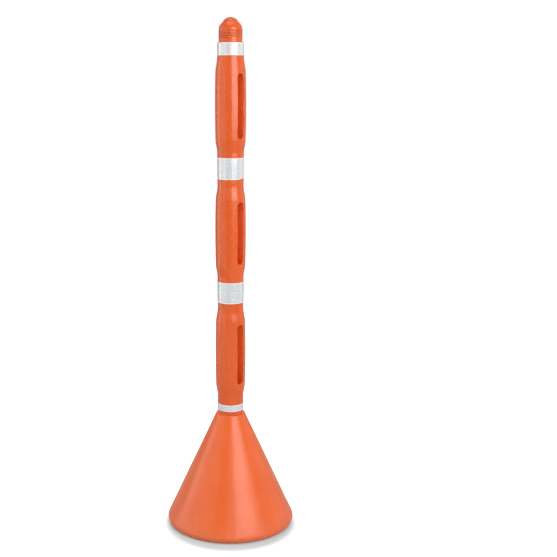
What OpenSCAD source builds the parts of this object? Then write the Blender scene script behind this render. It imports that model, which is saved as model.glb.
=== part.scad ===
// Modular delineator post: a ballasted cone, three stacked hollow modules and four reflective bands.
// Origin on the floor at the post's axis, +Z up, tape slots open along X. Millimetres.

/* [Base cone] */
// Height of the seat where the lowest module stands
base_h = 283; // [220:1:350]
// Largest radius of the cone, at its foot
base_r = 158; // [120:1:200]
// Round of the cone's lower outer edge
foot_round = 12; // [8:0.5:16]
// Round between the cone's slope and its seat
seat_round = 4; // [3.5:0.1:8]
// Width of the flat ring that the cone stands on
foot_ring_w = 10; // [5:0.5:20]
// Height of the underside inside that ring
foot_recess = 6; // [2:0.5:10]
// Height of the ballast's level surface
ballast_h = 66; // [40:1:120]
// Height of the open neck above the seat
fill_neck_h = 34; // [30:0.5:40]

/* [Post modules] */
// Height of one module from seat to seat
module_h = 300; // [240:1:360]
// Outer radius of the straight skirt at the bottom
skirt_r = 32.1; // [27:0.1:36]
// Length of the straight skirt
skirt_len = 42; // [36:0.5:60]
// Rise of the lower shoulder
low_shoulder = 32; // [20:0.5:40]
// Rise of the upper shoulder
high_shoulder = 38; // [20:0.5:60]
// Length of the straight neck at the top
neck_len = 31; // [30.5:0.5:40]
// Largest radius, at the middle of the barrel
barrel_r = 37.3; // [34:0.1:44]
// How much the barrel narrows towards its shoulders
barrel_crown = 1.1; // [0:0.1:2.5]
// Round of the skirt's and the neck's outer edges
edge_round = 0.8; // [0.2:0.1:1.5]

/* [Walls] */
// Wall of the cone and of the modules
wall = 3; // [2:0.1:3.4]
// Wall of the skirt round its socket
skirt_wall = 2.8; // [2:0.1:3.5]

/* [Tape slot] */
// Width of the slot
slot_w = 18; // [10:0.5:24]
// Length of the slot, over its round ends
slot_len = 151; // [80:1:160]
// Height of the slot's middle above the barrel's middle
slot_raise = 0.8; // [0:0.1:6]

/* [Spigot] */
// Height of the spigot above its seat, to the top of its dome
spigot_h = 57; // [50:0.5:64]
// Length of its straight part
spigot_len = 29; // [28:0.5:32]
// Height of the crown's top above the elliptic dome under it
crown_rise = 5; // [3:0.5:8]
// Radius of the raised crown
crown_r = 17.4; // [14:0.1:19]
// Radius of the crown's spherical top
crown_sphere_r = 22.5; // [20:0.5:30]
// Depth of the moulded ribs
rib_depth = 1.1; // [0.6:0.1:1.6]
// Pitch of the ribs
rib_pitch = 6; // [4:0.1:7]
// Height of the lowest rib above the seat
rib_start = 11; // [8:0.5:12]
// Ribs on each half of the spigot
rib_count = 3; // [2:1:3]
// Direction of the seam between the two halves
rib_seam = -37; // [-90:1:90]

/* [Reflective bands] */
// Thickness of the sheeting
band_t = 0.4; // [0.2:0.1:0.8]
// Width of the two bands over the joints
joint_band_w = 51; // [35:1:54]
// How far a joint band hangs below its joint
joint_band_drop = 18; // [8:0.5:20]
// Width of the top band
top_band_w = 29; // [18:0.5:34]
// Gap between the top band and the seat above it
top_band_gap = 1; // [0.8:0.1:3]
// Width of the base band
base_band_w = 16; // [10:0.5:24]
// Height of the base band above the cone's seat
base_band_gap = 9.6; // [3:0.1:12]

/* [Fill plug] */
// Thickness of the plug's flange
plug_flange_t = 3; // [2:0.1:4]
// Depth of the plug's sleeve in the neck
plug_sleeve = 15; // [8:0.5:20]
// Wall of the plug
plug_wall = 2.5; // [1.5:0.1:3]
// Length of the plug's grip bar
grip_len = 40; // [20:1:44]
// Thickness of the grip bar
grip_t = 6; // [3:0.5:10]
// Height of the grip bar
grip_h = 9; // [5:0.5:12]

/* [Clearances] */
// Gap all round between the rib crests and the socket
rib_clear = 0.3; // [0.2:0.05:0.6]
// Gap between a joint band and the neck that it hangs over
band_clear = 0.3; // [0.2:0.05:0.6]
// Gap between the plug's sleeve and the neck
plug_clear = 0.2; // [0.1:0.05:0.4]
// How far the plug's flange stays inside the neck's outer wall
plug_rim = 0.4; // [0:0.1:1]
// Gap between the ballast and the cone's inner wall
ballast_clear = 0.3; // [0.1:0.05:0.5]
// Width of the cone's seat outside the skirt
seat_margin = 0.5; // [0.2:0.1:2]

/* [Hidden] */
$fn = 96;

orange = [0.90, 0.42, 0.25];
white = [0.93, 0.93, 0.94];
sand_colour = [0.78, 0.69, 0.50];
plug_colour = [0.20, 0.20, 0.21];

socket_r = skirt_r - skirt_wall;
rib_crest_r = socket_r - rib_clear;
spigot_r = rib_crest_r - rib_depth;
spigot_bore = spigot_r - wall;
dome_rise = spigot_h - spigot_len - crown_rise;
neck_r = skirt_r - band_clear;

low_end = skirt_len + low_shoulder;
high_start = module_h - neck_len - high_shoulder;
barrel_mid = (low_end + high_start) / 2;
barrel_half = (high_start - low_end) / 2;
slot_mid = barrel_mid + slot_raise;

seat_z = [for (i = [0 : 3]) base_h + i * module_h];

rib_tip = 1.2;
rib_flank = 0.9;
rib_root = 0.6;
rib_end_gap = 3;

edge_steps = 3;
foot_steps = 8;
seat_steps = 4;
dome_steps = 9;
crown_steps = 7;
low_shoulder_step = 1 / 8;
barrel_step = 1 / 8;
high_shoulder_step = 1 / 10;

foot_centre = [base_r - foot_round, foot_round];
seat_centre = [skirt_r + seat_margin, base_h - seat_round];
foot_to_seat = foot_centre - seat_centre;
slope_a = atan2(foot_to_seat[1], foot_to_seat[0])
    + acos((seat_round - foot_round) / norm(foot_to_seat));
ring_inner = foot_centre[0] - foot_ring_w;

// Half a cosine wave from 0 to 1
function ease(t) = (1 - cos(180 * t)) / 2;

// Outer radius of a module's barrel, without its shoulders
function crown_at(z) = barrel_r - barrel_crown * pow((z - barrel_mid) / barrel_half, 2);

// Outer radius of a module at height z above its seat
function module_at(z) =
    z <= skirt_len ? skirt_r :
    z < low_end ? skirt_r + (crown_at(z) - skirt_r) * ease((z - skirt_len) / low_shoulder) :
    z <= high_start ? crown_at(z) :
    z < module_h - neck_len ? neck_r + (crown_at(z) - neck_r) * ease((module_h - neck_len - z) / high_shoulder) :
    neck_r;

// Heights at which a module's outline gets a point
function module_steps() = concat(
    [for (t = [0 : low_shoulder_step : 1]) skirt_len + low_shoulder * t],
    [for (t = [barrel_step : barrel_step : 1 - barrel_step]) low_end + (high_start - low_end) * t],
    [for (t = [0 : high_shoulder_step : 1]) high_start + high_shoulder * t]);

function reversed(list) = [for (i = [len(list) - 1 : -1 : 0]) list[i]];

// Points of an arc about a centre
function arc(centre, r, from, to, count) =
    [for (i = [0 : count]) let (a = from + (to - from) * i / count) centre + r * [cos(a), sin(a)]];

// Dome above the spigot's straight part: an elliptic shoulder, a small riser and a spherical crown
function dome_outline() = let (
        shoulder_a = acos(crown_r / spigot_r),
        crown_z = spigot_h - crown_sphere_r,
        crown_a = acos(crown_r / crown_sphere_r))
    concat(
        [for (i = [0 : dome_steps]) let (a = shoulder_a * i / dome_steps)
            [spigot_r * cos(a), module_h + spigot_len + dome_rise * sin(a)]],
        arc([0, module_h + crown_z], crown_sphere_r, crown_a, 90, crown_steps));

function module_outline() = concat(
    [[socket_r, 0]],
    arc([skirt_r - edge_round, edge_round], edge_round, -90, 0, edge_steps),
    [for (z = module_steps()) [module_at(z), z]],
    arc([neck_r - edge_round, module_h - edge_round], edge_round, 0, 90, edge_steps),
    [[spigot_r, module_h]],
    dome_outline());

function module_inside() = concat(
    [for (i = [0 : dome_steps]) let (a = 90 - 90 * i / dome_steps)
        [spigot_bore * cos(a), module_h + spigot_len + (dome_rise - wall / 2) * sin(a)]],
    [[spigot_bore, module_h - wall], [socket_r, module_h - wall]],
    [for (z = reversed(module_steps())) [max(socket_r, module_at(z) - wall), z]]);

// Closed outline of the cone, moved inwards by inset: foot ring, foot edge, slope and seat edge
function cone_outline(inset) = let (ramp = inset * (sqrt(2) - 1)) concat(
    [[0, foot_recess + inset], [ring_inner - foot_recess + ramp, foot_recess + inset], [ring_inner + ramp, inset]],
    arc(foot_centre, foot_round - inset, -90, slope_a, foot_steps),
    arc(seat_centre, seat_round - inset, slope_a, 90, seat_steps));

// Radius of the cone's slope at height z, moved inwards by inset
function slope_at(z, inset) =
    (foot_centre[0] * cos(slope_a) + (foot_centre[1] - z) * sin(slope_a) + foot_round - inset) / cos(slope_a);

// One half ring of the spigot's ribs, rooted in the spigot's wall
module rib(z) {
    root_r = spigot_r - rib_root;
    root_half = rib_tip / 2 + rib_flank * (rib_crest_r - root_r);
    translate([0, 0, z])
        rotate([0, 0, rib_end_gap])
            rotate_extrude(angle = 180 - 2 * rib_end_gap)
                polygon([[root_r, -root_half], [rib_crest_r, -rib_tip / 2],
                    [rib_crest_r, rib_tip / 2], [root_r, root_half]]);
}

// Ribs round a spigot: each half's ribs stand half a pitch above the other's, like a two-part moulded thread
module spigot_ribs(seat) {
    for (i = [0 : rib_count - 1]) {
        rotate([0, 0, rib_seam])
            rib(seat + rib_start + rib_pitch * (i + 0.5));
        rotate([0, 0, rib_seam + 180])
            rib(seat + rib_start + rib_pitch * i);
    }
}

// Stadium-shaped cutter along X
module slot_cutter() {
    straight = slot_len - slot_w;
    translate([0, 0, slot_mid]) {
        cube([3 * barrel_r, slot_w, straight], center = true);
        for (end = [-1, 1])
            translate([0, 0, end * straight / 2])
                rotate([0, 90, 0])
                    cylinder(h = 3 * barrel_r, r = slot_w / 2, center = true);
    }
}

// Post module that stands on seat number level
module post_module(level) {
    translate([0, 0, seat_z[level]])
        difference() {
            union() {
                rotate_extrude()
                    polygon(concat(module_outline(), module_inside()));
                spigot_ribs(module_h);
            }
            slot_cutter();
        }
}

// Reflective band: a thin tube of inner radius r from height z
module band(r, z, w) {
    translate([0, 0, z])
        difference() {
            cylinder(h = w, r = r + band_t);
            translate([0, 0, -1])
                cylinder(h = w + 2, r = r);
        }
}

module base_cone() {
    neck_top = base_h + fill_neck_h;
    color(orange) {
        rotate_extrude()
            polygon(concat(
                cone_outline(0),
                [[spigot_r, base_h], [spigot_r, neck_top], [spigot_bore, neck_top], [spigot_bore, base_h - wall]],
                reversed(cone_outline(wall))));
        spigot_ribs(base_h);
    }
}

module ballast_sand() {
    gap = wall + ballast_clear;
    color(sand_colour)
        rotate_extrude()
            polygon(concat(
                [for (p = cone_outline(gap)) if (p[1] < ballast_h) p],
                [[slope_at(ballast_h, gap), ballast_h], [0, ballast_h]]));
}

module fill_plug() {
    rim = base_h + fill_neck_h;
    sleeve_r = spigot_bore - plug_clear;
    flange_r = spigot_r - plug_rim;
    color(plug_colour)
        difference() {
            union() {
                translate([0, 0, rim])
                    cylinder(h = plug_flange_t, r = flange_r);
                translate([0, 0, rim - plug_sleeve])
                    cylinder(h = plug_sleeve + 1, r = sleeve_r);
                translate([-grip_len / 2, -grip_t / 2, rim + plug_flange_t - 1])
                    cube([grip_len, grip_t, grip_h + 1]);
            }
            translate([0, 0, rim - plug_sleeve - 1])
                cylinder(h = plug_sleeve + 1, r = sleeve_r - plug_wall);
        }
}

module module_lower() {
    color(orange) post_module(0);
}

module module_middle() {
    color(orange) post_module(1);
}

module module_upper() {
    color(orange) post_module(2);
}

module band_base() {
    color(white) band(skirt_r, seat_z[0] + base_band_gap, base_band_w);
}

module band_lower() {
    color(white) band(skirt_r, seat_z[1] - joint_band_drop, joint_band_w);
}

module band_upper() {
    color(white) band(skirt_r, seat_z[2] - joint_band_drop, joint_band_w);
}

module band_top() {
    color(white) band(neck_r, seat_z[3] - top_band_gap - top_band_w, top_band_w);
}

base_cone();
ballast_sand();
fill_plug();
module_lower();
module_middle();
module_upper();
band_base();
band_lower();
band_upper();
band_top();
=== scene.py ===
import bpy
import bmesh
import math
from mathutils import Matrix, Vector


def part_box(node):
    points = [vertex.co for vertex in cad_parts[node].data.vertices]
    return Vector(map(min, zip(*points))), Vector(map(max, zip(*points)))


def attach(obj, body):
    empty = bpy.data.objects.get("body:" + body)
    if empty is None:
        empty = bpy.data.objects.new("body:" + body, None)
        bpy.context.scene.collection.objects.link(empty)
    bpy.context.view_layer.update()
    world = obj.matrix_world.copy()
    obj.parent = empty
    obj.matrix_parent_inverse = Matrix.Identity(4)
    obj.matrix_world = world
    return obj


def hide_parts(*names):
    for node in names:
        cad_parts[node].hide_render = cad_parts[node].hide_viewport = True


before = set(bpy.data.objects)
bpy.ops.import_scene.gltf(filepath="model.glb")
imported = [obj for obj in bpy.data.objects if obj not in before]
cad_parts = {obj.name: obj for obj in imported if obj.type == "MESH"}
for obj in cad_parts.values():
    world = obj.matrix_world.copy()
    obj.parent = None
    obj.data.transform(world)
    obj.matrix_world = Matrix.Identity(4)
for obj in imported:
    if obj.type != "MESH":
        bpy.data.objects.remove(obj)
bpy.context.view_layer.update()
mm = 0.001

# places that come from the frame
seats = [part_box(node)[0][2] for node in ("module_lower", "module_middle", "module_upper")]
moduleHeight = seats[1] - seats[0]
footRadius = (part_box("base_cone")[1][0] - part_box("base_cone")[0][0]) / 2

seamAngle = math.radians(-37)  # where the two mould halves meet
print("frame loaded", len(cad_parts), "nodes")


def ease(t):
    return (1 - math.cos(math.pi * t)) / 2


def smooth(t):
    t = min(max(t, 0.0), 1.0)
    return t * t * (3 - 2 * t)


def arcPoints(cx, cz, r, fromDeg, toDeg, count):
    points = []
    for i in range(count + 1):
        a = math.radians(fromDeg + (toDeg - fromDeg) * i / count)
        points.append((cx + r * math.cos(a), cz + r * math.sin(a)))
    return points


def spread(a, b, count):
    return [a + (b - a) * i / count for i in range(count + 1)]


def linePoints(a, b, count):
    return list(zip(spread(a[0], b[0], count), spread(a[1], b[1], count)))


def turnFrom(angle, other):
    return (angle - other + math.pi) % (2 * math.pi) - math.pi


def newObject(name, vertices, faces):
    mesh = bpy.data.meshes.new(name)
    mesh.from_pydata(vertices, [], faces)
    mesh.update()
    obj = bpy.data.objects.new(name, mesh)
    bpy.context.scene.collection.objects.link(obj)
    return obj


def cleanShell(obj):
    work = bmesh.new()
    work.from_mesh(obj.data)
    bmesh.ops.remove_doubles(work, verts=work.verts, dist=1e-6)
    bmesh.ops.recalc_face_normals(work, faces=work.faces)
    work.to_mesh(obj.data)
    work.free()


def shadeSmooth(obj, angleDeg):
    for face in obj.data.polygons:
        face.use_smooth = True
    limit = math.cos(math.radians(angleDeg))
    work = bmesh.new()
    work.from_mesh(obj.data)
    for edge in work.edges:
        if len(edge.link_faces) == 2:
            edge.smooth = edge.link_faces[0].normal.dot(edge.link_faces[1].normal) > limit
    work.to_mesh(obj.data)
    work.free()


class NodeTree:
    def __init__(self, tree):
        self.tree = tree

    def add(self, kind, inputs=None, **settings):
        node = self.tree.nodes.new(kind)
        for key, value in settings.items():
            setattr(node, key, value)
        for key, value in (inputs or {}).items():
            self.plug(node.inputs[key], value)
        return node

    def plug(self, socket, value):
        if isinstance(value, bpy.types.NodeSocket):
            self.tree.links.new(value, socket)
        else:
            socket.default_value = value

    def calc(self, operation, a, b=None, c=None):
        node = self.add("ShaderNodeMath", operation=operation)
        for i, value in enumerate((a, b, c)):
            if value is not None:
                self.plug(node.inputs[i], value)
        return node.outputs[0]

    def step(self, value, low, high, outLow=0.0, outHigh=1.0):
        node = self.add("ShaderNodeMapRange", interpolation_type="SMOOTHSTEP")
        for key, number in zip(("Value", "From Min", "From Max", "To Min", "To Max"),
                               (value, low, high, outLow, outHigh)):
            self.plug(node.inputs[key], number)
        return node.outputs[0]

    def mixColour(self, factor, a, b):
        node = self.add("ShaderNodeMix", data_type="RGBA")
        self.plug(node.inputs[0], factor)
        self.plug(node.inputs[6], a)
        self.plug(node.inputs[7], b)
        return node.outputs[2]


moulding = {
    "seamHeight": 0.22 * mm, "seamWidth": 0.55 * mm, "sharpFrom": 50,
    "ribFade": (0.6 * mm, 2.4 * mm), "ribStagger": 0.5, "swellTop": 0.85,
    "moduleWave": (0.35 * mm, 16.0), "moduleSeed": 3.0,
    "coneWave": (0.8 * mm, 6.0), "coneSeed": 11.0,
}


# ribs, parting line and waviness that every blown piece gets
def mouldDetailTree():
    tree = bpy.data.node_groups.new("mouldDetail", "GeometryNodeTree")
    face = tree.interface
    face.new_socket("Geometry", in_out="INPUT", socket_type="NodeSocketGeometry")
    for name, kind in (("Seam Angle", "Float"), ("Seam Height", "Float"), ("Seam Width", "Float"),
                       ("Rib Depth", "Float"), ("Rib Pitch", "Float"), ("Rib Start", "Float"),
                       ("Rib Count", "Float"), ("Rib Tip", "Float"), ("Rib Flank", "Float"),
                       ("Wave Depth", "Float"), ("Wave Scale", "Float"), ("Seed", "Float"),
                       ("Material", "Material")):
        face.new_socket(name, in_out="INPUT", socket_type="NodeSocket" + kind)
    face.new_socket("Geometry", in_out="OUTPUT", socket_type="NodeSocketGeometry")

    n = NodeTree(tree)
    source = n.add("NodeGroupInput").outputs
    position = n.add("GeometryNodeInputPosition").outputs[0]
    axes = n.add("ShaderNodeSeparateXYZ", {0: position}).outputs
    normal = n.add("GeometryNodeInputNormal").outputs[0]
    spigot = n.add("GeometryNodeInputNamedAttribute", {"Name": "spigot"}, data_type="FLOAT").outputs[0]
    skin = n.add("GeometryNodeInputNamedAttribute", {"Name": "skin"}, data_type="FLOAT").outputs[0]

    turn = n.calc("SUBTRACT", n.calc("ARCTAN2", axes[1], axes[0]), source["Seam Angle"])
    side = n.calc("SINE", turn)
    radius = n.calc("SQRT", n.calc("ADD", n.calc("MULTIPLY", axes[0], axes[0]),
                                   n.calc("MULTIPLY", axes[1], axes[1])))
    fromSeam = n.calc("MULTIPLY", n.calc("ABSOLUTE", side), radius)

    # ribs: one half of the spigot carries them half a pitch above the other half
    lift = n.calc("MULTIPLY", n.calc("GREATER_THAN", side, 0.0), moulding["ribStagger"])
    along = n.calc("SUBTRACT", n.calc("DIVIDE", n.calc("SUBTRACT", axes[2], source["Rib Start"]),
                                      source["Rib Pitch"]), lift)
    nearest = n.calc("MINIMUM", n.calc("MAXIMUM", n.calc("ROUND", along), 0.0),
                     n.calc("SUBTRACT", source["Rib Count"], 1.0))
    away = n.calc("MULTIPLY", n.calc("ABSOLUTE", n.calc("SUBTRACT", along, nearest)), source["Rib Pitch"])
    crest = n.step(away, source["Rib Tip"], n.calc("ADD", source["Rib Tip"], source["Rib Flank"]), 1.0, 0.0)
    ends = n.step(fromSeam, *moulding["ribFade"])
    ribLift = n.calc("MULTIPLY", n.calc("MULTIPLY", crest, ends),
                     n.calc("MULTIPLY", source["Rib Depth"], spigot))
    level = n.add("ShaderNodeCombineXYZ", {0: axes[0], 1: axes[1]}).outputs[0]
    outward = n.add("ShaderNodeVectorMath", {0: level}, operation="NORMALIZE").outputs[0]
    ribMove = n.add("ShaderNodeVectorMath", {0: outward, "Scale": ribLift}, operation="SCALE").outputs[0]

    # the parting line stands a little proud, and the skin waves slightly as blown plastic does
    ridge = n.calc("MULTIPLY", n.step(fromSeam, 0.0, source["Seam Width"], 1.0, 0.0), source["Seam Height"])
    wave = n.add("ShaderNodeTexNoise", {"Vector": position, "Scale": source["Wave Scale"], "Detail": 1.0,
                                        "W": source["Seed"]}, noise_dimensions="4D").outputs[0]
    below = n.calc("SUBTRACT", wave, moulding["swellTop"])
    swell = n.calc("MULTIPLY", below, source["Wave Depth"])
    skinMove = n.add("ShaderNodeVectorMath",
                     {0: normal, "Scale": n.calc("MULTIPLY", n.calc("ADD", ridge, swell), skin)},
                     operation="SCALE").outputs[0]
    move = n.add("ShaderNodeVectorMath", {0: ribMove, 1: skinMove}, operation="ADD").outputs[0]

    # the hollows between the ribs and the marked joint rows, darkened as painted shade
    lastHollow = n.calc("SUBTRACT", source["Rib Count"], 0.7)
    above = n.step(along, lastHollow, n.calc("ADD", lastHollow, 0.3), 1.0, 0.0)
    band = n.calc("MULTIPLY", n.step(along, -0.6, -0.3), above)
    hollow = n.calc("MULTIPLY", n.calc("MULTIPLY", n.calc("SUBTRACT", 1.0, crest), spigot), band)
    seam = n.add("GeometryNodeInputNamedAttribute", {"Name": "groove"}, data_type="FLOAT").outputs[0]
    depth = n.calc("MAXIMUM", hollow, seam)
    marked = n.add("GeometryNodeStoreNamedAttribute",
                   {"Geometry": source["Geometry"], "Name": "groove", "Value": depth},
                   data_type="FLOAT", domain="POINT")
    moved = n.add("GeometryNodeSetPosition", {"Geometry": marked.outputs[0], "Offset": move})
    solid = n.add("GeometryNodeRealizeInstances", {"Geometry": moved.outputs[0]})
    painted = n.add("GeometryNodeSetMaterial",
                    {"Geometry": solid.outputs[0], "Material": source["Material"]})
    n.add("NodeGroupOutput", {"Geometry": painted.outputs[0]})
    return tree


def applyTree(obj, tree, **inputs):
    modifier = obj.modifiers.new(tree.name, "NODES")
    modifier.node_group = tree
    names = {"".join(item.name.split()).lower(): item.identifier
             for item in tree.interface.items_tree if item.in_out == "INPUT"}
    for key, value in inputs.items():
        modifier[names[key.lower()]] = value
    bpy.context.view_layer.update()
    evaluated = obj.evaluated_get(bpy.context.evaluated_depsgraph_get())
    result = bpy.data.meshes.new_from_object(evaluated)
    obj.modifiers.remove(modifier)
    obj.data = result


def groupTree(name, inputs, outputs):
    tree = bpy.data.node_groups.new(name, "ShaderNodeTree")
    for label, kind, value in inputs:
        socket = tree.interface.new_socket(label, in_out="INPUT", socket_type=kind)
        if value is not None:
            socket.default_value = value
    for label, kind in outputs:
        tree.interface.new_socket(label, in_out="OUTPUT", socket_type=kind)
    n = NodeTree(tree)
    return tree, n, n.add("NodeGroupInput").outputs


skinRelief = {"peel": 0.10, "flow": 0.90, "flowStretch": 0.06}


# blotches, orange peel and fine flow lines of blown plastic
def mouldedSkinGroup():
    tree, n, source = groupTree(
        "mouldedSkin",
        (("Vector", "NodeSocketVector", None), ("Blotch Scale", "NodeSocketFloat", 14.0),
         ("Peel Scale", "NodeSocketFloat", 900.0), ("Flow Scale", "NodeSocketFloat", 70.0)),
        (("Blotch", "NodeSocketFloat"), ("Flow", "NodeSocketFloat"), ("Height", "NodeSocketFloat")))
    blotch = n.add("ShaderNodeTexNoise", {"Vector": source["Vector"], "Scale": source["Blotch Scale"],
                                          "Detail": 4.0, "Roughness": 0.55}).outputs[0]
    peel = n.add("ShaderNodeTexNoise", {"Vector": source["Vector"], "Scale": source["Peel Scale"],
                                        "Detail": 3.0, "Roughness": 0.6}).outputs[0]
    stretch = (1.0, 1.0, skinRelief["flowStretch"])
    stretched = n.add("ShaderNodeMapping", {"Vector": source["Vector"], "Scale": stretch}).outputs[0]
    flow = n.add("ShaderNodeTexNoise", {"Vector": stretched, "Scale": source["Flow Scale"],
                                        "Detail": 3.0, "Roughness": 0.5}).outputs[0]
    height = n.calc("ADD", n.calc("MULTIPLY", peel, skinRelief["peel"]),
                    n.calc("MULTIPLY", flow, skinRelief["flow"]))
    n.add("NodeGroupOutput", {"Blotch": blotch, "Flow": flow, "Height": height})
    return tree


handling = {
    "leans": ((0.15, 0.0), (-0.5, 7.3), (1.1, 3.1)),  # each scratch layer's lean and place in the noise
    "lengthwise": 0.04,
    "scratchWidth": 0.014,
    "gateScale": 23.0,
    "rubbedScale": 31.0,
    "grimeScale": 160.0,
}


# thin scratches, dull rubbed patches and settled dust
def handlingMarksGroup():
    h = handling
    tree, n, source = groupTree(
        "handlingMarks",
        (("Vector", "NodeSocketVector", None), ("Scratch Scale", "NodeSocketFloat", 90.0),
         ("Scratch Amount", "NodeSocketFloat", 0.5), ("Dust Height", "NodeSocketFloat", 0.06)),
        (("Scratches", "NodeSocketFloat"), ("Rubbed", "NodeSocketFloat"), ("Dust", "NodeSocketFloat")))
    axes = n.add("ShaderNodeSeparateXYZ", {0: source["Vector"]}).outputs
    squareX = n.calc("MULTIPLY", axes[0], axes[0])
    radius = n.calc("SQRT", n.calc("MULTIPLY_ADD", axes[1], axes[1], squareX))
    around = n.calc("MULTIPLY", n.calc("ARCTAN2", axes[1], axes[0]), radius)
    along = n.calc("MULTIPLY", axes[2], h["lengthwise"])
    layers = []
    # the scratches run along the unrolled wall, each layer leaning its own way
    for lean, offset in h["leans"]:
        leaned = n.calc("MULTIPLY_ADD", axes[2], lean, around)
        unrolled = n.add("ShaderNodeCombineXYZ", {0: leaned, 1: along, 2: offset}).outputs[0]
        streaks = n.add("ShaderNodeTexNoise", {"Vector": unrolled, "Scale": source["Scratch Scale"],
                                               "Detail": 1.0}).outputs[0]
        off = n.calc("ABSOLUTE", n.calc("SUBTRACT", streaks, 0.5))
        line = n.step(off, 0.0, h["scratchWidth"], 1.0, 0.0)
        gate = n.add("ShaderNodeTexNoise", {"Vector": source["Vector"], "Scale": h["gateScale"] + offset,
                                            "Detail": 2.0}).outputs[0]
        layers.append(n.calc("MULTIPLY", line, n.step(gate, 0.56, 0.68)))
    strongest = n.calc("MAXIMUM", n.calc("MAXIMUM", layers[0], layers[1]), layers[2])
    scratches = n.calc("MULTIPLY", strongest, source["Scratch Amount"])
    patches = n.add("ShaderNodeTexNoise", {"Vector": source["Vector"], "Scale": h["rubbedScale"],
                                           "Detail": 3.0, "Roughness": 0.6}).outputs[0]
    rubbed = n.step(patches, 0.5, 0.72)
    grime = n.add("ShaderNodeTexNoise", {"Vector": source["Vector"], "Scale": h["grimeScale"],
                                         "Detail": 5.0, "Roughness": 0.7}).outputs[0]
    low = n.step(axes[2], 0.0, source["Dust Height"], 1.0, 0.0)
    dust = n.calc("MULTIPLY", low, n.step(grime, 0.35, 0.75))
    n.add("NodeGroupOutput", {"Scratches": scratches, "Rubbed": rubbed, "Dust": dust})
    return tree


def newMaterial(name):
    material = bpy.data.materials.new(name)
    material.use_nodes = True
    n = NodeTree(material.node_tree)
    shader = material.node_tree.nodes["Principled BSDF"]
    return material, n, shader


moduleLook = {
    "colour": (0.70, 0.098, 0.007, 1),
    "deep": (0.67, 0.089, 0.005, 1),
    "pale": (0.73, 0.116, 0.011, 1),
    # painted light: the inside orange is brighter than the outer orange, standing in for light that comes
    # through the thin wall and bounces round the hollow inside
    "inside": (0.97, 0.24, 0.012, 1),
    "glow": (0.045, 0.004, 0.0, 1),  # painted glow: emission standing in for daylight that comes through the thin wall to the inside
    "wear": (0.80, 0.26, 0.12, 1),
    "dust": (0.50, 0.32, 0.22, 1),
    # painted shade colour: darkens the rib hollows and the skirt's bottom lip, where shade falls
    "grime": (0.26, 0.030, 0.005, 1),
    "grimeTint": 0.36,
    "scratchTint": 0.3,
    "edgeTint": 0.35,
    "flowTint": 0.35,
    "dustTint": 0.25,
    "roughness": 0.265,
    "innerRoughness": 0.62,
    "rubbedRough": 0.06,
    "scratchRough": 0.12,
    "dustRough": 0.25,
    "scratchDepth": 0.2,
    "bump": 0.35,
    "bumpDepth": 0.12 * mm,
    "ior": 1.54,
    "softness": 0.2,
    "softRadius": (1.0, 0.22, 0.05),
    "softDepth": 6 * mm,
}
# painted light: the cone gets a brighter copy of the module orange, standing in for the extra light on its
# sloped wall
litConeLook = dict(moduleLook, colour=(0.775, 0.116, 0.013, 1), deep=(0.745, 0.106, 0.010, 1),
                pale=(0.805, 0.137, 0.019, 1), roughness=0.34)


def orangePlastic(name, look, skinGroup, marksGroup):
    material, n, shader = newMaterial(name)
    place = n.add("ShaderNodeTexCoord").outputs["Object"]
    skin = n.add("ShaderNodeGroup", node_tree=skinGroup)
    n.plug(skin.inputs["Vector"], place)
    marks = n.add("ShaderNodeGroup", node_tree=marksGroup)
    n.plug(marks.inputs["Vector"], place)
    edge = n.add("ShaderNodeAttribute", attribute_name="edge").outputs["Fac"]
    wornGate = n.add("ShaderNodeTexNoise", {"Vector": place, "Scale": 45.0, "Detail": 5.0}).outputs[0]
    worn = n.calc("MULTIPLY", edge, n.step(wornGate, 0.40, 0.75))

    colour = n.mixColour(n.step(skin.outputs["Blotch"], 0.35, 0.7), look["deep"], look["colour"])
    lines = n.calc("MULTIPLY", n.step(skin.outputs["Flow"], 0.45, 0.7), look["flowTint"])
    colour = n.mixColour(lines, colour, look["pale"])
    # painted light: the inner walls take the brighter inside orange
    inner = n.add("ShaderNodeAttribute", attribute_name="inner").outputs["Fac"]
    colour = n.mixColour(inner, colour, look["inside"])
    scuffed = n.calc("MULTIPLY", marks.outputs["Scratches"], look["scratchTint"])
    scuffed = n.calc("MAXIMUM", scuffed, n.calc("MULTIPLY", worn, look["edgeTint"]))
    colour = n.mixColour(scuffed, colour, look["wear"])
    colour = n.mixColour(n.calc("MULTIPLY", marks.outputs["Dust"], look["dustTint"]), colour, look["dust"])
    # painted shade: the rib hollows and the skirt's bottom lip are darkened
    groove = n.add("ShaderNodeAttribute", attribute_name="groove").outputs["Fac"]
    colour = n.mixColour(n.calc("MULTIPLY", groove, look["grimeTint"]), colour, look["grime"])
    n.plug(shader.inputs["Base Color"], colour)
    # painted glow: the inner walls, and partly the slot's cut faces, emit a faint orange light though they
    # are no lamp
    n.plug(shader.inputs["Emission Color"], n.mixColour(inner, (0, 0, 0, 1), look["glow"]))
    shader.inputs["Emission Strength"].default_value = 1.0
    material.cycles.emission_sampling = "NONE"

    rough = n.step(inner, 0.0, 1.0, look["roughness"], look["innerRoughness"])
    for mark, amount in (("Rubbed", "rubbedRough"), ("Scratches", "scratchRough"), ("Dust", "dustRough")):
        rough = n.calc("ADD", rough, n.calc("MULTIPLY", marks.outputs[mark], look[amount]))
    n.plug(shader.inputs["Roughness"], rough)
    cuts = n.calc("MULTIPLY", marks.outputs["Scratches"], look["scratchDepth"])
    relief = n.calc("SUBTRACT", skin.outputs["Height"], cuts)
    bump = n.add("ShaderNodeBump", {"Height": relief, "Strength": look["bump"],
                                    "Distance": look["bumpDepth"]})
    n.plug(shader.inputs["Normal"], bump.outputs[0])
    shader.inputs["IOR"].default_value = look["ior"]
    shader.inputs["Subsurface Weight"].default_value = look["softness"]
    shader.inputs["Subsurface Radius"].default_value = look["softRadius"]
    shader.inputs["Subsurface Scale"].default_value = look["softDepth"]
    return material


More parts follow.
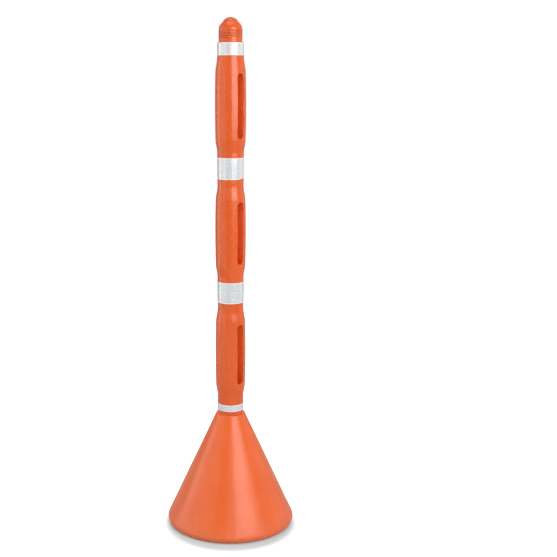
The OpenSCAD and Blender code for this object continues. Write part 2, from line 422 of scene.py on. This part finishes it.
sheetingLook = {
    "face": (0.70, 0.705, 0.72, 1),
    "cell": (0.58, 0.585, 0.61, 1),
    "core": (0.32, 0.325, 0.35, 1),
    "line": (0.84, 0.84, 0.845, 1),
    "edge": (0.42, 0.40, 0.39, 1),
    "mirror": 0.24,
    "cellWidth": 6.4 * mm,
    "cellHeight": 5.0 * mm,
    "prismScale": 2600.0,
    "rimTint": 0.7,
    "roughness": 0.22,
    "sealRough": 0.15,
    "rubbedRough": 0.12,
    "prismRelief": 0.25,
    "bump": 0.3,
    "bumpDepth": 0.12 * mm,
    "coatRoughness": 0.14,
    "coatIor": 1.6,
}


def reflectiveSheeting(marksGroup):
    look = sheetingLook
    material, n, shader = newMaterial("reflectiveSheeting")
    place = n.add("ShaderNodeTexCoord").outputs["Object"]
    flat = n.add("ShaderNodeUVMap", uv_map="sheet").outputs[0]
    axes = n.add("ShaderNodeSeparateXYZ", {0: flat}).outputs
    across = n.calc("DIVIDE", axes[0], look["cellWidth"])
    up = n.calc("DIVIDE", axes[1], look["cellHeight"])
    lines = []
    for value in (n.calc("ADD", across, up), n.calc("SUBTRACT", across, up)):
        lines.append(n.calc("ABSOLUTE", n.calc("SUBTRACT", n.calc("FRACT", value), 0.5)))
    seal = n.calc("MAXIMUM", n.step(lines[0], 0.40, 0.46), n.step(lines[1], 0.40, 0.46))
    # tiny prisms inside each cell
    prisms = n.add("ShaderNodeTexVoronoi", {"Vector": flat, "Scale": look["prismScale"]}).outputs["Distance"]
    marks = n.add("ShaderNodeGroup", node_tree=marksGroup)
    n.plug(marks.inputs["Vector"], place)
    tone = n.add("ShaderNodeTexNoise", {"Vector": flat, "Scale": 240.0, "Detail": 2.0}).outputs[0]
    middle = n.calc("MAXIMUM", lines[0], lines[1])
    core = n.step(middle, 0.14, 0.24, 1.0, 0.0)
    colour = n.mixColour(n.step(tone, 0.35, 0.65), look["cell"], look["face"])
    colour = n.mixColour(core, colour, look["core"])
    border = n.add("ShaderNodeAttribute", attribute_name="border").outputs["Fac"]
    seal = n.calc("MAXIMUM", seal, n.step(border, 0.4, 0.6))
    colour = n.mixColour(seal, colour, look["line"])
    rim = n.add("ShaderNodeAttribute", attribute_name="edge").outputs["Fac"]
    colour = n.mixColour(n.calc("MULTIPLY", rim, look["rimTint"]), colour, look["edge"])
    n.plug(shader.inputs["Base Color"], colour)
    rough = n.calc("ADD", look["roughness"], n.calc("MULTIPLY", seal, look["sealRough"]))
    rough = n.calc("ADD", rough, n.calc("MULTIPLY", marks.outputs["Rubbed"], look["rubbedRough"]))
    n.plug(shader.inputs["Roughness"], rough)
    n.plug(shader.inputs["Metallic"], n.calc("MULTIPLY", n.calc("SUBTRACT", 1.0, seal), look["mirror"]))
    height = n.calc("ADD", seal, n.calc("MULTIPLY", prisms, look["prismRelief"]))
    bump = n.add("ShaderNodeBump", {"Height": height, "Strength": look["bump"],
                                    "Distance": look["bumpDepth"]})
    n.plug(shader.inputs["Normal"], bump.outputs[0])
    shader.inputs["Coat Weight"].default_value = 1.0
    shader.inputs["Coat Roughness"].default_value = look["coatRoughness"]
    shader.inputs["Coat IOR"].default_value = look["coatIor"]
    return material


plugLook = {
    "colour": (0.012, 0.012, 0.013, 1),
    "pale": (0.035, 0.035, 0.038, 1),
    "scratch": (0.16, 0.16, 0.16, 1),
    "scratchTint": 0.5,
    "roughness": 0.42,
    "rubbedRough": 0.2,
    "bump": 0.4,
    "bumpDepth": 0.15 * mm,
}


def plugPlastic(skinGroup, marksGroup):
    look = plugLook
    material, n, shader = newMaterial("plugPlastic")
    place = n.add("ShaderNodeTexCoord").outputs["Object"]
    skin = n.add("ShaderNodeGroup", node_tree=skinGroup)
    n.plug(skin.inputs["Vector"], place)
    marks = n.add("ShaderNodeGroup", node_tree=marksGroup)
    n.plug(marks.inputs["Vector"], place)
    colour = n.mixColour(skin.outputs["Blotch"], look["colour"], look["pale"])
    scuffed = n.calc("MULTIPLY", marks.outputs["Scratches"], look["scratchTint"])
    n.plug(shader.inputs["Base Color"], n.mixColour(scuffed, colour, look["scratch"]))
    rough = n.calc("MULTIPLY", marks.outputs["Rubbed"], look["rubbedRough"])
    n.plug(shader.inputs["Roughness"], n.calc("ADD", look["roughness"], rough))
    bump = n.add("ShaderNodeBump", {"Height": skin.outputs["Height"], "Strength": look["bump"],
                                    "Distance": look["bumpDepth"]})
    n.plug(shader.inputs["Normal"], bump.outputs[0])
    return material


sandLook = {
    "damp": (0.46, 0.34, 0.18, 1),
    "dry": (0.70, 0.58, 0.38, 1),
    "gap": (0.25, 0.19, 0.12, 1),
    "grain": 1.1 * mm,
    "toneScale": 40.0,
    "roughness": 0.9,
    "bumpDepth": 0.5 * mm,
}


def drySand():
    look = sandLook
    material, n, shader = newMaterial("drySand")
    place = n.add("ShaderNodeTexCoord").outputs["Object"]
    grains = n.add("ShaderNodeTexVoronoi", {"Vector": place, "Scale": 1 / look["grain"]}).outputs
    tone = n.add("ShaderNodeTexNoise", {"Vector": place, "Scale": look["toneScale"],
                                        "Detail": 5.0}).outputs[0]
    colour = n.mixColour(tone, look["damp"], look["dry"])
    # painted shade: darker towards the edges of each grain's cell, between the grains
    colour = n.mixColour(n.step(grains["Distance"], 0.2, 0.7), colour, look["gap"])
    n.plug(shader.inputs["Base Color"], colour)
    shader.inputs["Roughness"].default_value = look["roughness"]
    bump = n.add("ShaderNodeBump", {"Height": grains["Distance"], "Strength": 1.0,
                                    "Distance": look["bumpDepth"]})
    n.plug(shader.inputs["Normal"], bump.outputs[0])
    return material


# the turned walls of the blown pieces, from the inside out
module = {
    "skirtR": 32.1 * mm, "skirtLen": 42 * mm, "lowShoulder": 32 * mm,
    "highShoulder": 38 * mm, "neckLen": 31 * mm, "neckR": 31.8 * mm,
    "barrelR": 37.3 * mm, "crown": 1.1 * mm,
    "socketR": 29.3 * mm, "wall": 3 * mm, "edgeRound": 0.8 * mm,
    "slotHalfWidth": 9 * mm, "slotHalfLength": 75.5 * mm, "slotRaise": 0.8 * mm,
    "lipRound": 1.3 * mm, "innerLipRound": 0.5 * mm, "slotEaseOut": 7 * mm, "lipWear": 1.5 * mm,
}
slotReach = module["slotHalfWidth"] + module["lipRound"]
slotStraight = module["slotHalfLength"] - module["slotHalfWidth"]
# spacing of the grid beside and beyond a slot in millimetres, and round the parting line in degrees
grid = {
    "beside": (0.9, 2.0, 3.4, 5.0, 7.0),
    "beyond": (0.9, 2, 3.4, 5, 7.2),
    "seam": (-3.4, -2.0, -1.1, -0.5, 0, 0.5, 1.1, 2.0, 3.4),
}
spigot = {
    "radius": 27.9 * mm, "bore": 24.9 * mm, "straight": 29 * mm, "height": 57 * mm,
    "domeRise": 23 * mm, "crownR": 17.4 * mm, "crownSphereR": 22.5 * mm,
    "ribDepth": 1.1 * mm, "ribPitch": 6 * mm, "ribStart": 11 * mm, "ribCount": 3.0,
    "ribTip": 0.5 * mm, "ribFlank": 1.3 * mm, "rootRound": 0.8 * mm,
}
base = {
    "height": seats[0], "footRadius": footRadius, "footRound": 12 * mm, "seatRound": 4 * mm,
    "seatRadius": 32.6 * mm, "footRingWidth": 10 * mm, "recess": 6 * mm, "wall": 3 * mm,
    "neckHeight": 34 * mm,
}


def barrelLimits():
    low = module["skirtLen"] + module["lowShoulder"]
    high = moduleHeight - module["neckLen"] - module["highShoulder"]
    return low, high


def crownRadius(z):
    low, high = barrelLimits()
    middle, half = (low + high) / 2, (high - low) / 2
    return module["barrelR"] - module["crown"] * ((z - middle) / half) ** 2


def moduleRadius(z):
    low, high = barrelLimits()
    top = moduleHeight - module["neckLen"]
    if z <= module["skirtLen"]:
        return module["skirtR"]
    if z < low:
        part = ease((z - module["skirtLen"]) / module["lowShoulder"])
        return module["skirtR"] + (crownRadius(z) - module["skirtR"]) * part
    if z <= high:
        return crownRadius(z)
    if z < top:
        part = ease((top - z) / module["highShoulder"])
        return module["neckR"] + (crownRadius(z) - module["neckR"]) * part
    return module["neckR"]


def innerRadius(z):
    # a soft maximum keeps the inside smooth where the socket meets the barrel
    a, b, soft = module["socketR"], moduleRadius(z) - module["wall"], 0.5 * mm
    return (a + b + math.sqrt((a - b) ** 2 + soft ** 2)) / 2 - soft / 2


def columnAngles():
    near = [slotReach * k / 8 for k in range(-8, 9)]
    beside = [slotReach + d * mm for d in grid["beside"]]
    sides = sorted([-u for u in beside] + near + beside)
    angles = [math.asin(u / module["barrelR"]) for u in sides]
    fine = [seamAngle + math.radians(d) for d in grid["seam"]]
    rest = spread(angles[-1], math.pi / 2, 15)[1:]
    leftSpan = spread(-math.pi / 2, fine[0], 12)[1:-1]
    gap = [(fine[-1] + angles[0]) / 2]
    half = leftSpan + fine + gap + angles + rest
    return half + [a + math.pi for a in half]


def barrelHeights():
    # heights of the rows round a slot, finest at its round ends
    end = [slotStraight + slotReach * k / 8 for k in range(1, 9)]
    end += [slotStraight + slotReach + d * mm for d in grid["beyond"]]
    middle = [-slotStraight + 2 * slotStraight * k / 22 for k in range(23)]
    low, high = barrelLimits()
    centre = (low + high) / 2 + module["slotRaise"]
    return centre, [centre + v for v in [-e for e in reversed(end)] + middle + end]


def slotPlace(u, v, radiusAt, centre, lip):
    # carries a grid point (u across, v up from the slot's middle) to the wall round the round-ended slot
    inside = max(-slotStraight, min(slotStraight, v))
    dv = v - inside
    ring = max(abs(u), abs(dv))
    length = math.hypot(u, dv) or 1.0
    out = module["slotHalfWidth"] + lip + (ring - slotReach)
    blend = smooth((ring - slotReach) / module["slotEaseOut"])
    plainU = u * radiusAt(centre + v) / module["barrelR"]
    across = (u / length * out) * (1 - blend) + plainU * blend
    up = (dv / length * out) * (1 - blend) + dv * blend
    z = centre + inside + up
    return across, z, math.sqrt(max(radiusAt(z) ** 2 - across ** 2, 0.0))


def profileRows(points, **marks):
    return [dict(r=p[0], z=p[1], **marks) for p in points]


def domeRows():
    s = spigot
    start = moduleHeight + s["straight"]
    shoulder = math.acos(s["crownR"] / s["radius"])
    turns = [shoulder * k / 14 for k in range(1, 15)]
    points = [(s["radius"] * math.cos(a), start + s["domeRise"] * math.sin(a)) for a in turns]
    crownZ = moduleHeight + s["height"] - s["crownSphereR"]
    crownAngle = math.degrees(math.acos(s["crownR"] / s["crownSphereR"]))
    cap = arcPoints(0, crownZ, s["crownSphereR"], crownAngle, 90, 12)
    endR, endZ = points[-1]
    step = [(endR + 0.4 * mm, endZ - 0.1 * mm), (s["crownR"] + 0.1 * mm, endZ + 0.5 * mm),
            (s["crownR"], cap[0][1] - 0.6 * mm)]
    return points[:-1] + step + cap[1:-1] + [(0, cap[-1][1])]


def spigotRows(baseZ, top):
    # from the seat up the ribbed wall, with rows close enough to carry the ribs
    s = spigot
    rows = arcPoints(s["radius"] + s["rootRound"], baseZ + s["rootRound"], s["rootRound"], 270, 180, 4)
    low, count = baseZ + s["rootRound"], 68
    rows += linePoints((s["radius"], low), (s["radius"], top), count)[1:]
    return rows


def moduleRows():
    m, s = module, spigot
    heights = barrelHeights()[1]
    spring, rise = moduleHeight + s["straight"], s["domeRise"] - m["wall"] / 2
    inside = [(0, spring + rise)]
    inside += [(s["bore"] * math.cos(a), spring + rise * math.sin(a))
               for a in (math.radians(90 - 9 * k) for k in range(1, 10))]
    inside += linePoints((s["bore"], spring), (s["bore"], moduleHeight), 6)
    ledge, small = moduleHeight - m["wall"], 0.6 * mm
    inside += [(s["bore"], ledge + small), (s["bore"] + small, ledge)]
    inside += [(m["socketR"] - small, ledge), (m["socketR"], ledge - small)]
    rows = profileRows(inside, inner=1.0)
    low, high = heights[0], heights[-1]
    above = spread(moduleHeight - m["wall"] - 4 * mm, high, 14)[:-1]
    rows += profileRows([(innerRadius(z), z) for z in above], inner=1.0)
    rows += [dict(r=innerRadius(z), z=z, zone="inside", inner=1.0) for z in reversed(heights)]
    below = spread(low, 1.2 * mm, 16)[1:]
    rows += profileRows([(innerRadius(z), z) for z in below], inner=1.0)
    e = m["edgeRound"]
    lip = [(m["socketR"], 0.5 * mm), (m["socketR"] + 0.15 * mm, 0.13 * mm), (m["socketR"] + 0.5 * mm, 0),
           (m["skirtR"] - e - 0.4 * mm, 0)]
    # the skirt's bottom lip is marked for painted shade where the module sits in the joint
    rows += profileRows(lip, edge=0.2, groove=1.0)
    rows += profileRows(arcPoints(m["skirtR"] - e, e, e, -90, -30, 3), groove=1.0)
    rows += profileRows(arcPoints(m["skirtR"] - e, e, e, -15, 0, 1), edge=0.6)
    skirt = linePoints((m["skirtR"], e), (m["skirtR"], m["skirtLen"] - 1 * mm), 12)[1:]
    rows += profileRows(skirt)
    climb = spread(m["skirtLen"], low, 10)[:-1]
    rows += profileRows([(moduleRadius(z), z) for z in climb], skin=1.0)
    rows += [dict(r=moduleRadius(z), z=z, zone="outside", skin=1.0) for z in heights]
    over = spread(high, moduleHeight - m["neckLen"], 14)[1:]
    rows += profileRows([(moduleRadius(z), z) for z in over], skin=1.0)
    neck = linePoints((m["neckR"], moduleHeight - m["neckLen"] + 1 * mm), (m["neckR"], moduleHeight - e), 8)
    rows += profileRows(neck)
    rows += profileRows(arcPoints(m["neckR"] - e, moduleHeight - e, e, 0, 90, 5)[1:], edge=1.0)
    ribbed = spigotRows(moduleHeight, moduleHeight + s["straight"])
    rows += profileRows(ribbed, spigot=1.0)
    rows += profileRows(domeRows())
    return rows


def turnedMesh(name, rows, angles, zOffset, slots=()):
    vertices, faces, index = [], [], []
    marks = {"skin": [], "edge": [], "spigot": [], "groove": [], "inner": []}

    def addVertex(point, row, edge=None):
        vertices.append((point[0], point[1], point[2] + zOffset))
        for label, values in marks.items():
            values.append(row.get(label, 0.0))
        if edge is not None:
            marks["edge"][-1] = edge
        return len(vertices) - 1

    centre = barrelHeights()[0]
    for row in rows:
        if row["r"] < 1e-7:
            index.append([addVertex((0, 0, row["z"]), row)] * len(angles))
            continue
        line = []
        for angle in angles:
            point = (row["r"] * math.cos(angle), row["r"] * math.sin(angle), row["z"])
            edge = None
            if row.get("zone"):
                for slotAngle in slots:
                    off = turnFrom(angle, slotAngle)
                    if abs(off) < math.radians(30):
                        outside = row["zone"] == "outside"
                        radiusAt = moduleRadius if outside else innerRadius
                        lip = module["lipRound"] if outside else module["innerLipRound"]
                        u, v = module["barrelR"] * math.sin(off), row["z"] - centre
                        across, z, depth = slotPlace(u, v, radiusAt, centre, lip)
                        cs, sn = math.cos(slotAngle), math.sin(slotAngle)
                        point = (depth * cs - across * sn, depth * sn + across * cs, z)
                        ring = max(abs(u), abs(v) - slotStraight) - slotReach
                        edge = 1.0 - smooth(ring / module["lipWear"]) if outside else 0.0
            line.append(addVertex(point, row, edge))
        index.append(line)

    columns = len(angles)

    def inSlot(i, j):
        if not (rows[i].get("zone") and rows[i].get("zone") == rows[i + 1].get("zone")):
            return False
        middleV = abs((rows[i]["z"] + rows[i + 1]["z"]) / 2 - centre)
        step = (angles[(j + 1) % columns] - angles[j]) % (2 * math.pi)
        for slotAngle in slots:
            off = turnFrom(angles[j] + step / 2, slotAngle)
            across = abs(module["barrelR"] * math.sin(off))
            if abs(off) < math.pi / 2 and across < slotReach and middleV < slotStraight + slotReach:
                return True
        return False

    for i in range(len(rows) - 1):
        for j in range(columns):
            if slots and inSlot(i, j):
                continue
            k = (j + 1) % columns
            corners = [index[i][j], index[i][k], index[i + 1][k], index[i + 1][j]]
            face = [c for n, c in enumerate(corners) if c not in corners[:n]]
            if len(face) > 2:
                faces.append(face)

    for slotAngle in slots:
        addSlotLips(slotAngle, rows, angles, index, addVertex, faces)
    obj = newObject(name, vertices, faces)
    for label, values in marks.items():
        attribute = obj.data.attributes.new(label, "FLOAT", "POINT")
        attribute.data.foreach_set("value", values)
    cleanShell(obj)
    return obj


def addSlotLips(slotAngle, rows, angles, index, addVertex, faces):
    # joins the outer and inner walls round one slot: rounded outer lip, flat cut, small inner round
    centre, heights = barrelHeights()
    outerRow = next(i for i, row in enumerate(rows) if row.get("zone") == "outside")
    innerRow = next(i for i, row in enumerate(rows) if row.get("zone") == "inside")
    offsets = [turnFrom(a, slotAngle) for a in angles]
    tiny = 1e-6
    cols = [j for j in range(len(angles)) if abs(offsets[j]) < math.pi / 2
            and abs(module["barrelR"] * math.sin(offsets[j])) <= slotReach + tiny]
    cols.sort(key=lambda j: offsets[j])
    levels = [k for k, z in enumerate(heights) if abs(z - centre) <= slotStraight + slotReach + tiny]
    first, last = levels[0], levels[-1]
    loop = [(first, j) for j in cols[:-1]] + [(k, cols[-1]) for k in levels[:-1]]
    loop += [(last, j) for j in reversed(cols[1:])] + [(k, cols[0]) for k in reversed(levels[1:])]
    cs, sn = math.cos(slotAngle), math.sin(slotAngle)

    def lipPoint(k, j, radiusAt, out, sink):
        u, v = module["barrelR"] * math.sin(offsets[j]), heights[k] - centre
        inside = max(-slotStraight, min(slotStraight, v))
        dv = v - inside
        length = math.hypot(u, dv)
        across, z = u / length * out, centre + inside + dv / length * out
        depth = math.sqrt(radiusAt(z) ** 2 - across ** 2) - sink
        return depth * cs - across * sn, depth * sn + across * cs, z

    rings = [[index[outerRow + k][j] for k, j in loop]]
    lipMarks = dict(edge=1.0)
    wide = module["slotHalfWidth"]
    for step in range(1, 6):
        a = math.radians(90 * step / 5)
        r = module["lipRound"]
        out, sink = wide + r * (1 - math.sin(a)), r * (1 - math.cos(a))
        rings.append([addVertex(lipPoint(k, j, moduleRadius, out, sink), lipMarks) for k, j in loop])
    # the cut faces round a slot are marked partly inner, so they get part of the painted inside light and
    # painted glow
    cutMarks = dict(edge=0.3, inner=0.6)
    for step in range(2, -1, -1):
        a = math.radians(90 * (step + 1) / 3)
        r = module["innerLipRound"]
        out, sink = wide + r * (1 - math.sin(a)), -r * (1 - math.cos(a))
        rings.append([addVertex(lipPoint(k, j, innerRadius, out, sink), cutMarks) for k, j in loop])
    count = len(heights)
    rings.append([index[innerRow + count - 1 - k][j] for k, j in loop])
    for a, b in zip(rings, rings[1:]):
        for n in range(len(loop)):
            p = (n + 1) % len(loop)
            faces.append([a[n], a[p], b[p], b[n]])


def finishMoulding(obj, tree, material, ribSeat, seed, wave):
    s, f = spigot, moulding
    ribs = {key: s[key] for key in ("ribDepth", "ribPitch", "ribCount", "ribTip", "ribFlank")}
    applyTree(obj, tree, seamAngle=seamAngle, seamHeight=f["seamHeight"], seamWidth=f["seamWidth"],
              ribStart=ribSeat + s["ribStart"], waveDepth=wave[0], waveScale=wave[1],
              seed=seed, material=material, **ribs)
    shadeSmooth(obj, f["sharpFrom"])


def buildModules(tree, material):
    rows, angles = moduleRows(), columnAngles()
    for level, (name, node, body) in enumerate((("lowerModule", "module_lower", "lower_post"),
                                                ("middleModule", "module_middle", "middle_post"),
                                                ("upperModule", "module_upper", "upper_post"))):
        piece = turnedMesh(name, rows, angles, seats[level], slots=(0.0, math.pi))
        finishMoulding(piece, tree, material, seats[level] + moduleHeight,
                       moulding["moduleSeed"] + level, moulding["moduleWave"])
        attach(piece, body)
        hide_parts(node)
        print("module", name, len(piece.data.polygons), "faces")


def coneOutline(inset):
    b = base
    foot = (b["footRadius"] - b["footRound"], b["footRound"])
    seat = (b["seatRadius"], b["height"] - b["seatRound"])
    dx, dz = foot[0] - seat[0], foot[1] - seat[1]
    lean = math.acos((b["seatRound"] - b["footRound"]) / math.hypot(dx, dz))
    slope = math.degrees(math.atan2(dz, dx) + lean)
    ring = foot[0] - b["footRingWidth"]
    ramp = inset * (math.sqrt(2) - 1)
    floor = [(0, b["recess"] + inset)] + linePoints((ring * 0.3, b["recess"] + inset),
                                                    (ring - b["recess"] - 1.5 * mm, b["recess"] + inset), 5)
    floor += [(ring - b["recess"] + ramp + 0.4 * mm, b["recess"] + inset - 0.8 * mm)]
    floor += [(ring + ramp - 0.8 * mm, inset + 0.6 * mm), (ring + ramp + 0.8 * mm, inset)]
    lower = arcPoints(foot[0], foot[1], b["footRound"] - inset, -90, slope, 14)
    upper = arcPoints(seat[0], seat[1], b["seatRound"] - inset, slope, 90, 6)
    return floor + lower + linePoints(lower[-1], upper[0], 26)[1:-1] + upper


def coneRows():
    b, s = base, spigot
    rows = profileRows(coneOutline(b["wall"]))
    top = b["height"] + b["neckHeight"]
    bore = linePoints((s["bore"], b["height"] - b["wall"]), (s["bore"], top - 0.6 * mm), 8)
    rows += profileRows(bore)
    rim = [(s["bore"] + 0.2 * mm, top - 0.2 * mm), (s["bore"] + 0.6 * mm, top)]
    rim += [(s["radius"] - 0.6 * mm, top), (s["radius"] - 0.2 * mm, top - 0.2 * mm)]
    rows += profileRows(rim, edge=0.6)
    rows += profileRows(reversed(spigotRows(b["height"], top - 0.6 * mm)), spigot=1.0)
    outer = list(reversed(coneOutline(0.0)))
    seatEnd, wallEnd, footEnd = 7, 33, 40  # rows round the seat, down the wall and round the foot
    rows += profileRows(outer[:seatEnd], edge=0.3)
    rows += profileRows(outer[seatEnd:wallEnd], skin=1.0)
    rows += profileRows(outer[wallEnd:footEnd], skin=1.0, edge=0.25)
    rows += profileRows(outer[footEnd:], edge=0.6)
    return rows


def buildCone(tree, material):
    piece = turnedMesh("baseCone", coneRows(), columnAngles(), 0.0)
    finishMoulding(piece, tree, material, base["height"], moulding["coneSeed"], moulding["coneWave"])
    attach(piece, "base")
    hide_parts("base_cone")
    print("cone", len(piece.data.polygons), "faces")


bands = {
    "thickness": 0.4 * mm, "lap": 9 * mm, "climb": 2.5 * mm, "gap": 0.02 * mm, "edgeWander": 0.12 * mm,
    "columns": 170, "crook": 3.4 * mm, "crookFrom": -18, "crookTo": 40, "sharpFrom": 40,
}


# a strip wrapped once round the wall, lapped at its seam; one of them has a crooked lower edge
def buildBand(name, node, body, radius, seamDeg, material, crooked=False):
    b = bands
    low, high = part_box(node)[0][2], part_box(node)[1][2]
    lapAngle, climbAngle = b["lap"] / radius, b["climb"] / radius
    total = 2 * math.pi + lapAngle
    tall = high - low
    heights = [0.0, 0.4 * mm, 1.2 * mm, 2.2 * mm]
    inner = [tall * k / 8 for k in range(2, 7)]
    between = [h for h in inner if 3 * mm < h < tall - 3 * mm]
    heights = heights + between + [tall - h for h in reversed(heights)]
    count, levels = b["columns"], len(heights) - 1
    vertices, faces, sheet, rims, borders = [], [], [], [], []
    start = math.radians(seamDeg)
    layers = []
    for thick in (0.0, b["thickness"]):
        strip = []
        for i in range(count + 1):
            turned = total * i / count
            climb = smooth((turned - (2 * math.pi - climbAngle)) / climbAngle) * (b["thickness"] + b["gap"])
            r = radius + b["gap"] + thick + climb
            angle = start + turned
            wander = b["edgeWander"] * (math.sin(3.1 * angle + seamDeg) + 0.6 * math.sin(7.7 * angle + 1.3))
            compass = (math.degrees(angle) + 180) % 360 - 180
            bent = smooth((compass - b["crookFrom"]) / (b["crookTo"] - b["crookFrom"]))
            rise = b["crook"] * bent if crooked and compass < b["crookTo"] + 40 else 0.0
            column = []
            for k in range(levels + 1):
                part = heights[k] / tall
                z = low + heights[k] + wander * (1 - 2 * part) + rise * (1 - part)
                column.append(len(vertices))
                vertices.append((r * math.cos(angle), r * math.sin(angle), z))
                sheet.append((radius * turned, z))
                rims.append(1.0 if k in (0, levels) or i in (0, count) else 0.0)
                borders.append(1.0 if k < 3 or k > levels - 3 else 0.0)
            strip.append(column)
        layers.append(strip)
    inner, outer = layers
    for i in range(count):
        for k in range(levels):
            faces.append([outer[i][k], outer[i + 1][k], outer[i + 1][k + 1], outer[i][k + 1]])
            faces.append([inner[i][k], inner[i][k + 1], inner[i + 1][k + 1], inner[i + 1][k]])
        faces.append([inner[i][0], inner[i + 1][0], outer[i + 1][0], outer[i][0]])
        faces.append([inner[i][levels], outer[i][levels], outer[i + 1][levels], inner[i + 1][levels]])
    for k in range(levels):
        faces.append([inner[0][k], outer[0][k], outer[0][k + 1], inner[0][k + 1]])
        faces.append([inner[count][k], inner[count][k + 1], outer[count][k + 1], outer[count][k]])
    piece = newObject(name, vertices, faces)
    layer = piece.data.uv_layers.new(name="sheet")
    for loop in piece.data.loops:
        layer.data[loop.index].uv = sheet[loop.vertex_index]
    for label, values in (("edge", rims), ("border", borders)):
        attribute = piece.data.attributes.new(label, "FLOAT", "POINT")
        attribute.data.foreach_set("value", values)
    piece.data.materials.append(material)
    shadeSmooth(piece, b["sharpFrom"])
    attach(piece, body)
    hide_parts(node)


skinGroup, marksGroup = mouldedSkinGroup(), handlingMarksGroup()
sheeting = reflectiveSheeting(marksGroup)
detailTree = mouldDetailTree()
buildCone(detailTree, orangePlastic("coneOrange", litConeLook, skinGroup, marksGroup))
buildModules(detailTree, orangePlastic("moduleOrange", moduleLook, skinGroup, marksGroup))
buildBand("baseBand", "band_base", "lower_post", module["skirtR"], -52, sheeting)
buildBand("lowerBand", "band_lower", "middle_post", module["skirtR"], 120, sheeting)
buildBand("upperBand", "band_upper", "upper_post", module["skirtR"], 140, sheeting, crooked=True)
buildBand("topBand", "band_top", "upper_post", module["neckR"], 160, sheeting)
print("bands built")
for node, material in (("fill_plug", plugPlastic(skinGroup, marksGroup)), ("ballast_sand", drySand())):
    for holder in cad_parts[node].material_slots:
        holder.material = material
print("plug and sand finished")

camera = {
    "azimuth": 48.0,
    "distance": 2.483,
    "height": 1.117,
    "pitch": 11.37,
    "lens": 67.2,
    "sensor": 36.0,
    "shiftX": 0.0861,
    "shiftY": 0.003,
}
stage = {
    "floor": 12.0,
    "floorTone": (0.56, 0.62, 0.63, 1),
    # the glow ramps from nearGlow round the post to farGlow, which paints the edge of a soft shadow ring
    # round the foot
    "nearGlow": 0.04,
    "farGlow": 1.0,
    "glowFrom": 0.143,
    "glowTo": 0.190,
    "glowCentre": (0.024, -0.021, 0),
    "roughness": 0.8,
    "sky": 0.40,
    "backdrop": 1.02,
}


def buildStage():
    half = stage["floor"] / 2
    corners = [(-half, -half, 0), (half, -half, 0), (half, half, 0), (-half, half, 0)]
    floor = newObject("floor", corners, [[0, 1, 2, 3]])
    material, n, shader = newMaterial("paleFloor")
    shader.inputs["Base Color"].default_value = stage["floorTone"]
    shader.inputs["Roughness"].default_value = stage["roughness"]
    shader.inputs["Specular IOR Level"].default_value = 0.0
    # partly real shade and partly painted shadow: the camera-only glow stays low round the post, so the
    # floor's own shading shows there, and its ring, offset towards the front, paints the shadow's shape;
    # beyond it the floor glows evenly white
    seen = n.add("ShaderNodeLightPath").outputs["Is Camera Ray"]
    shader.inputs["Emission Color"].default_value = (1, 1, 1, 1)
    place = n.add("ShaderNodeTexCoord").outputs["Object"]
    middle = {0: place, 1: stage["glowCentre"]}
    away = n.add("ShaderNodeVectorMath", middle, operation="DISTANCE").outputs["Value"]
    glow = n.step(away, stage["glowFrom"], stage["glowTo"], stage["nearGlow"], stage["farGlow"])
    n.plug(shader.inputs["Emission Strength"], n.calc("MULTIPLY", seen, glow))
    floor.data.materials.append(material)
    world = bpy.data.worlds.new("studio")
    world.use_nodes = True
    n = NodeTree(world.node_tree)
    background = world.node_tree.nodes["Background"]
    background.inputs[0].default_value = (1, 1, 1, 1)
    seen = n.add("ShaderNodeLightPath").outputs["Is Camera Ray"]
    extra = n.calc("MULTIPLY", seen, stage["backdrop"] - stage["sky"])
    n.plug(background.inputs[1], n.calc("ADD", extra, stage["sky"]))
    bpy.context.scene.world = world


# turn is how far round from the camera a panel stands, aim the height on the post that it faces
lights = {
    "keyPanel": {"turn": 32, "distance": 2.4, "height": 1.60,
                 "size": (2.05, 1.7), "level": 4.7, "aim": 1.2},
    "leftPanel": {"turn": -74, "distance": 2.2, "height": 0.95,
                  "size": (3.3, 2.2), "level": 0.86, "aim": 0.6},
    "leftStrip": {"turn": -101, "distance": 2.0, "height": 1.0,
                  "size": (0.36, 2.2), "level": 2.3, "aim": 0.8},
    "rightPanel": {"turn": 104, "distance": 2.2, "height": 1.0,
                   "size": (1.8, 2.2), "level": 0.55, "aim": 0.7},
    "backPanel": {"turn": 180, "distance": 2.4, "height": 1.2,
                  "size": (2.6, 2.2), "level": 0.8, "aim": 0.7},
    "overhead": {"turn": -20, "distance": 0.5, "height": 5.2,
                 "size": (3.6, 3.6), "level": 1.6, "aim": 0.0},
}


def buildLights():
    for name, panel in lights.items():
        data = bpy.data.lights.new(name, "AREA")
        data.shape = "RECTANGLE"
        data.size, data.size_y = panel["size"]
        data.energy = panel["level"] * math.pi * data.size * data.size_y
        light = bpy.data.objects.new(name, data)
        a = math.radians(camera["azimuth"] + panel["turn"])
        light.location = (panel["distance"] * math.sin(a), -panel["distance"] * math.cos(a), panel["height"])
        tilt = math.atan2(panel["aim"] - panel["height"], panel["distance"])
        light.rotation_euler = (math.pi / 2 + tilt, 0, a)
        bpy.context.scene.collection.objects.link(light)


def buildCamera():
    c = camera
    data = bpy.data.cameras.new("camera")
    data.lens, data.sensor_width = c["lens"], c["sensor"]
    data.shift_x, data.shift_y = c["shiftX"], c["shiftY"]
    obj = bpy.data.objects.new("camera", data)
    a = math.radians(c["azimuth"])
    obj.location = (c["distance"] * math.sin(a), -c["distance"] * math.cos(a), c["height"])
    obj.rotation_euler = (math.radians(90 - c["pitch"]), 0, a)
    bpy.context.scene.collection.objects.link(obj)
    bpy.context.scene.camera = obj


buildStage()
buildLights()
buildCamera()
bpy.context.scene.view_settings.view_transform = "Standard"
print("stage built")
